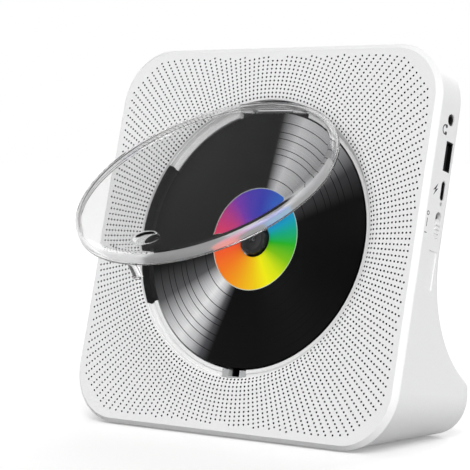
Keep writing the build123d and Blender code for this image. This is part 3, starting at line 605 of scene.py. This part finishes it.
# %% Outline with its chamfer
HALF_W, TOP_V, CORNER_R, BEVEL, PANEL_T = 91.5, 91.7, 26.0, 2.3, 2.5
foot_v = (1-90+BEVEL*sin(LEAN))/cos(LEAN)
rim_square = bmesh.ops.create_grid(panel, x_segments=1, y_segments=1, size=1)["verts"]
for vert in rim_square:
    vert.co = (HALF_W*vert.co.x, TOP_V if vert.co.y > 0 else foot_v, -BEVEL)
arcs = bmesh.ops.bevel(panel, geom=rim_square, offset=CORNER_R, offset_type="OFFSET", segments=20,
                       profile=0.5, affect="VERTICES", material=-1)
for vert in arcs["verts"]:
    if vert.co.y < 0:
        vert.co.y = foot_v + (vert.co.y-foot_v)/cos(LEAN)
sheet = max(panel.faces, key=lambda face: face.calc_area())
chamfer = bmesh.ops.inset_region(panel, faces=[sheet], thickness=BEVEL, depth=BEVEL, use_boundary=True,
                                 use_even_offset=True)["faces"]
rim_loop = [edge for face in chamfer for edge in face.edges if edge.is_boundary]
inner_loop = list(sheet.edges)
for vert in sheet.verts:
    if vert.co.y < -63:
        vert.co.y += 0.6*(vert.co.y+63)/(91.5-BEVEL-63)
    vert.co.z = 0
bmesh.ops.delete(panel, geom=[sheet], context="FACES_ONLY")
print("outline has", len(rim_loop), "edges")

# %% Close the panel
bmesh.ops.triangle_fill(panel, use_beauty=True, use_dissolve=False, edges=stepped+inner_loop)
back = bmesh.ops.extrude_edge_only(panel, edges=rim_loop)["geom"]
back_verts = [g for g in back if isinstance(g, bmesh.types.BMVert)]
for vert in back_verts:
    if vert.co.y < 0:
        vert.co.y += (PANEL_T-BEVEL)*tan(LEAN)
    vert.co.z = -PANEL_T
inward = bmesh.ops.extrude_edge_only(panel, edges=mouth)["geom"]
inward_verts = [g for g in inward if isinstance(g, bmesh.types.BMVert)]
for vert in inward_verts:
    vert.co.z = -PANEL_T
loops = [g for g in back+inward if isinstance(g, bmesh.types.BMEdge) and g.is_boundary]
bmesh.ops.triangle_fill(panel, use_beauty=True, use_dissolve=False, edges=loops)
grille = settle(panel, "grille_panel", "housing", [shell_abs, hole_painted_shade])
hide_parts("front_panel")

# %% [markdown]
# ## The clear cover
# The cover is a shallow clear pan, 5.6 mm high, with a wall of 1.6 mm and a rolled edge. It is drawn
# shut and spun, with the outside and inside of the wall as one closed line, because clear plastic only
# refracts correctly as a closed skin. The line's part on the axis leaves a bare edge, which is taken
# away. The upright wall's front gets the milky finish, which is a painted reflection, and the cover is
# turned open about its pin.

# %% Cover pan
COVER_R, CROWN_R, WALL, SEAT, TOP, DOME, PAINTED_BAND_R = 62.2, 59.2, 1.6, -4.5, 1.1, 0.4, 60.6
PIVOT = Vector((0, 61.3, -5.75))
OPEN = Matrix.Translation(PIVOT) @ Matrix.Rotation(radians(-42.3), 4, "X") @ Matrix.Translation(-PIVOT)

lip = [(COVER_R-0.35, SEAT), (COVER_R-0.1, SEAT+0.08), (COVER_R, SEAT+0.3), (COVER_R, SEAT+0.55),
       (COVER_R-0.3, SEAT+0.7), (COVER_R-0.3, SEAT+0.85), (COVER_R, SEAT+1.0)]
wall_line = curve_points((COVER_R, SEAT+1.4), (COVER_R, TOP-0.3), (CROWN_R, TOP), 13)
plate = [57.5, 56.0, 54.8, 54.2, 53.6, 53.0, 52.4, 51.8, 51.2, 50.6, 50.0, 49.4, 48.8, 48.2, 47.6, 47.0,
         46.4, 45.8, 45.2, 44.4, 43.6, 42.0, 38.0, 30.0, 20.0, 10.0]
outer = lip + wall_line + [(r, TOP+DOME*(1-(r/CROWN_R)**2)) for r in plate] + [(0, TOP+DOME)]
ceiling, inner_r = TOP-WALL, COVER_R-WALL
inner = [(0, ceiling+DOME)]
inner += [(r, ceiling+DOME*(1-(r/CROWN_R)**2)) for r in (15.0, 30.0, 45.0, 54.0, 57.0)]
inner += curve_points((58.2, ceiling), (inner_r, ceiling-0.1), (inner_r, SEAT+1.6), 12)
inner += [(inner_r, SEAT+0.25), (inner_r+0.3, SEAT)]

cover = bmesh.new()
spun(cover, outer+inner, 288)
bmesh.ops.remove_doubles(cover, verts=cover.verts, dist=0.002)
axis_line = [edge for edge in cover.edges if edge.is_wire]
bmesh.ops.delete(cover, geom=axis_line, context="EDGES")
for face in cover.faces:
    middle = face.calc_center_median()
    # Only the front of the upright wall takes the painted reflection finish.
    if hypot(middle.x, middle.y) > PAINTED_BAND_R and SEAT+1.0 < middle.z < TOP-0.45 and middle.y < 15:
        face.material_index = 1
print("cover pan has", len(cover.faces), "faces")

# %% [markdown]
# A thumb presses the cover shut at a shallow oval dimple near its free edge. The plate is fine enough
# there to push the points in along a smooth bowl. The hook under that edge is a bar with a barb at its
# end, and the two knuckles are barrels round the hinge pin.

# %% Thumb dimple, hook and knuckles
DIMPLE, DIMPLE_HALF, DIMPLE_DEPTH = (2.3, -49.8), (7.0, 4.6), 0.8
for vert in cover.verts:
    reach = hypot((vert.co.x-DIMPLE[0])/DIMPLE_HALF[0], (vert.co.y-DIMPLE[1])/DIMPLE_HALF[1])
    if reach < 1 and vert.co.z > 0.5:
        vert.co.z -= DIMPLE_DEPTH*(1-reach**2)**0.6


def add_block(bm, low, high, edge, segments=2):
    """A block between two corners with rounded edges, for small moulded lugs."""
    made = bmesh.ops.create_cube(bm, size=1)["verts"]
    size = [b-a for a, b in zip(low, high)]
    middle = [(a+b)/2 for a, b in zip(low, high)]
    bmesh.ops.scale(bm, vec=size, verts=made)
    bmesh.ops.translate(bm, vec=middle, verts=made)
    edges = list({e for v in made for e in v.link_edges})
    bmesh.ops.bevel(bm, geom=edges, offset=edge, offset_type="OFFSET", segments=segments,
                    profile=0.5, affect="EDGES", material=-1)
    return made


add_block(cover, (-2.6, -62.0, SEAT-7.2), (2.6, -60.8, SEAT+0.9), 0.3)
add_block(cover, (-2.2, -62.8, SEAT-7.3), (2.2, -61.6, SEAT-6.0), 0.35)
for side in (-1, 1):
    u0, u1 = sorted((side*11.0, side*18.4))
    add_block(cover, (u0, 59.0, -6.6), (u1, 61.0, SEAT+0.9), 0.3)
    barrel = bmesh.ops.create_cone(cover, cap_ends=True, segments=32, radius1=1.7, radius2=1.7,
                                   depth=u1-u0)["verts"]
    bmesh.ops.rotate(cover, verts=barrel, cent=(0, 0, 0), matrix=Matrix.Rotation(pi/2, 3, "Y"))
    bmesh.ops.translate(cover, verts=barrel, vec=((u0+u1)/2, PIVOT.y, PIVOT.z))
    round_it = {e for v in barrel for e in v.link_edges}
    ends = [e for e in round_it if abs(e.verts[0].co.x-e.verts[1].co.x) < 1e-4]
    bmesh.ops.bevel(cover, geom=ends, offset=0.25, offset_type="OFFSET", segments=2, profile=0.5,
                    affect="EDGES", material=-1)
bmesh.ops.transform(cover, matrix=OPEN, verts=cover.verts)
lid = settle(cover, "clear_cover", "cover_lid", [clear_acrylic, rim_painted_reflection], 40)
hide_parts("cover", "cover_knuckles", "cover_hook")

# %% [markdown]
# ## The disc and its hub
# A compact disc is 120 mm wide and 1.2 mm thick. The printed side faces out. Its middle print ends in
# a thin pale line at 23.8 mm, and the hole shows the dark hub that grips it with three balls.

# %% Disc
DISC_TOP, DISC_T = -4.55, 1.2
disc = bmesh.new()
line = [(7.5, DISC_TOP-0.15), (7.65, DISC_TOP), (8.15, DISC_TOP), (23.84, DISC_TOP), (59.75, DISC_TOP),
        (59.93, DISC_TOP-0.07), (60.0, DISC_TOP-0.25), (60.0, DISC_TOP-DISC_T+0.25),
        (59.93, DISC_TOP-DISC_T+0.07), (59.75, DISC_TOP-DISC_T), (7.65, DISC_TOP-DISC_T),
        (7.5, DISC_TOP-DISC_T+0.15)]
spun(disc, line, 360)
for face in disc.faces:
    middle = face.calc_center_median()
    r = hypot(middle.x, middle.y)
    if middle.z > DISC_TOP-0.01 and 8.15 < r < 23.84:
        face.material_index = 1
disc_piece = settle(disc, "disc_print_and_painted_reflection", "spindle", [disc_print_painted_reflection, label_print])
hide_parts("disc")

# %% [markdown]
# The hub's rim is scalloped, so that the disc centres itself on its lobes. It starts as a spun cap,
# and the points of its skirt are drawn in between the lobes.

# %% Hub
hub = bmesh.new()
seat = DISC_TOP-DISC_T
line = [(0, seat-2.2), (14.8, seat-2.2), (15.0, seat-2.0), (15.0, seat-0.2), (14.8, seat), (7.2, seat),
        (7.2, DISC_TOP+1.3), (6.9, DISC_TOP+1.9), (6.3, DISC_TOP+2.2), (5.2, DISC_TOP+2.3),
        (4.6, DISC_TOP+2.0), (2.0, DISC_TOP+1.8), (1.6, DISC_TOP+1.2), (0, DISC_TOP+1.2)]
spun(hub, line, 96, closed=False)
for vert in hub.verts:
    r, a = hypot(vert.co.x, vert.co.y), atan2(vert.co.y, vert.co.x)
    if 6.0 < r < 7.3 and vert.co.z > seat+0.05:
        pull = 1-0.07*max(0, cos(12*a))**2
        vert.co.x *= pull
        vert.co.y *= pull
hub_piece = settle(hub, "scalloped_hub", "spindle", [hub_plastic])
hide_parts("turntable")

# %% [markdown]
# ## Marks beside the sockets
# Small signs are pad-printed on the side: headphones by the jack, a bolt by the charging socket, and
# a ring, a line and a bar along the switch. They are drawn flat on the side, and then all raised at
# once by 0.03 mm.

# %% Printed signs
SIDE_X, INK = 91.5, 0.03
signs = bmesh.new()


def side_point(v, depth):
    """A point on the right side, from its height on the face and its depth behind it."""
    return Vector((SIDE_X, v, -depth))


def ink_shape(points):
    signs.faces.new([signs.verts.new(side_point(v, d)) for v, d in points])


def ink_arc(v, depth, r_out, r_in, start, end, count=18):
    """Part of a ring, for the headband and the off mark."""
    angles = [radians(start+(end-start)*k/count) for k in range(count+1)]
    for a, b in zip(angles, angles[1:]):
        ink_shape([(v+r_in*sin(a), depth-r_in*cos(a)), (v+r_out*sin(a), depth-r_out*cos(a)),
                   (v+r_out*sin(b), depth-r_out*cos(b)), (v+r_in*sin(b), depth-r_in*cos(b))])


ink_arc(53.9, 8.3, 2.35, 1.75, -90, 90)
for v in (55.5, 52.3):
    ink_arc(v, 9.0, 0.85, 0.0, 0, 360, 12)
ink_shape([(29.8, 9.0), (26.1, 5.5), (26.7, 7.4), (23.8, 6.1), (27.5, 9.4), (26.8, 7.6)])
ink_arc(15.4, 4.2, 1.0, 0.65, 0, 360, 24)
ink_shape([(9.4, 4.0), (9.4, 4.4), (13.2, 4.4), (13.2, 4.0)])
ink_shape([(6.6, 3.3), (6.6, 5.1), (7.0, 5.1), (7.0, 3.3)])
bmesh.ops.remove_doubles(signs, verts=signs.verts, dist=0.002)
raised = bmesh.ops.extrude_face_region(signs, geom=signs.faces[:], use_keep_orig=True)["geom"]
bmesh.ops.translate(signs, vec=(INK, 0, 0), verts=[g for g in raised if isinstance(g, bmesh.types.BMVert)])
sign_piece = settle(signs, "printed_signs", "housing", [pad_ink])

# %% [markdown]
# ## Floor, lamps and surroundings
# The floor is pale and plain, and keeps the object's soft shadow. To the camera, and to mirrors and
# clear plastic, it is lifted to white by a little light of its own, so the lamps can stay at a plain
# level. Light Path tells those rays apart.

# %% Floor
def seen_directly(tree):
    """1 for rays that the eye, a mirror or clear plastic sends out, and 0 for the rest."""
    path = add(tree, "LightPath")
    seen = add(tree, "Math", {"operation": "MAXIMUM"}, {0: path.outputs["Is Camera Ray"],
                                                       1: path.outputs["Is Glossy Ray"]})
    return add(tree, "Math", {"operation": "MAXIMUM"}, {0: seen.outputs[0],
                                                       1: path.outputs["Is Transmission Ray"]}).outputs[0]


floor_mesh = bmesh.new()
bmesh.ops.create_circle(floor_mesh, cap_ends=True, segments=64, radius=6)
floor_data = bpy.data.meshes.new("floor")
floor_mesh.to_mesh(floor_data)
floor_mesh.free()
floor = bpy.data.objects.new("floor", floor_data)
bpy.context.scene.collection.objects.link(floor)
floor_paper, tree, shader = new_finish("white_paper_floor", "#EEEEEE", 0.8)
shader.inputs["Specular IOR Level"].default_value = 0.0
seen = seen_directly(tree)
tone = add(tree, "MixRGB", {"Color1": linear("#A8A8A8"), "Color2": linear("#EEEEEE")}, {"Fac": seen})
feed(tree, shader, "Base Color", tone.outputs[0])
lift = add(tree, "Math", {"operation": "MULTIPLY", 1: 0.25}, {0: seen})
glow = add(tree, "Emission", {"Color": (1, 1, 1, 1)}, {"Strength": lift.outputs[0]})
total = add(tree, "AddShader", None, {0: shader.outputs[0], 1: glow.outputs[0]})
tree.links.new(total.outputs[0], tree.nodes["Material Output"].inputs["Surface"])
floor_data.materials.append(floor_paper)

# %% [markdown]
# Four soft distant lamps light the object. The main one stands in front, high and to the right. The
# others open the shadows. With the surroundings they add up to about 2.9 on the face, and at pi a matt
# surface renders at the colour that it is given. The left lamp is narrow and far to the side, so that
# the shut cover doesn't mirror it over the disc.


# %% Lamps
def soft_lamp(name, towards, strength, spread):
    """A distant lamp as wide as a softbox. towards points from the object to it."""
    data = bpy.data.lights.new(name, "SUN")
    data.energy = strength
    data.angle = radians(spread)
    obj = bpy.data.objects.new(name, data)
    obj.rotation_euler = Vector(towards).to_track_quat("Z", "Y").to_euler()
    bpy.context.scene.collection.objects.link(obj)


soft_lamp("key", (0.42, -0.66, 0.62), 1.45, 28)
soft_lamp("fill_left", (-0.8, -0.3, 0.5), 0.5, 30)
soft_lamp("fill_right", (0.85, -0.4, 0.34), 1.15, 40)
soft_lamp("fill_back", (-0.2, 0.8, 0.56), 1.2, 50)

# %% [markdown]
# The surroundings are white to the camera. In mirrors and through clear plastic they are white near
# the horizon and grow darker overhead, as a studio's ceiling does. That keeps the cover clear, because
# its flat top mirrors what is high above.

# %% Surroundings
world = bpy.data.worlds.new("studio")
world.use_nodes = True
bpy.context.scene.world = world
tree = world.node_tree
path = add(tree, "LightPath")
height = add(tree, "SeparateXYZ", None, {"Vector": add(tree, "TexCoord").outputs["Generated"]})
ceiling_grey = add(tree, "MapRange", {"From Min": 0.12, "From Max": 0.5, "To Min": 1.0, "To Max": 0.1},
                   {"Value": height.outputs["Z"]})
bent = add(tree, "Math", {"operation": "MAXIMUM"}, {0: path.outputs["Is Glossy Ray"],
                                                   1: path.outputs["Is Transmission Ray"]})
soft = add(tree, "MixRGB", {"Color1": (0.3, 0.3, 0.3, 1)}, {"Fac": bent.outputs[0],
                                                         "Color2": ceiling_grey.outputs[0]})
level = add(tree, "MixRGB", {"Color2": (1, 1, 1, 1)}, {"Fac": path.outputs["Is Camera Ray"],
                                                     "Color1": soft.outputs[0]})
sky = tree.nodes["Background"]
tree.links.new(level.outputs[0], sky.inputs["Color"])
sky.inputs["Strength"].default_value = 1.0
bpy.context.scene.view_settings.view_transform = "Standard"
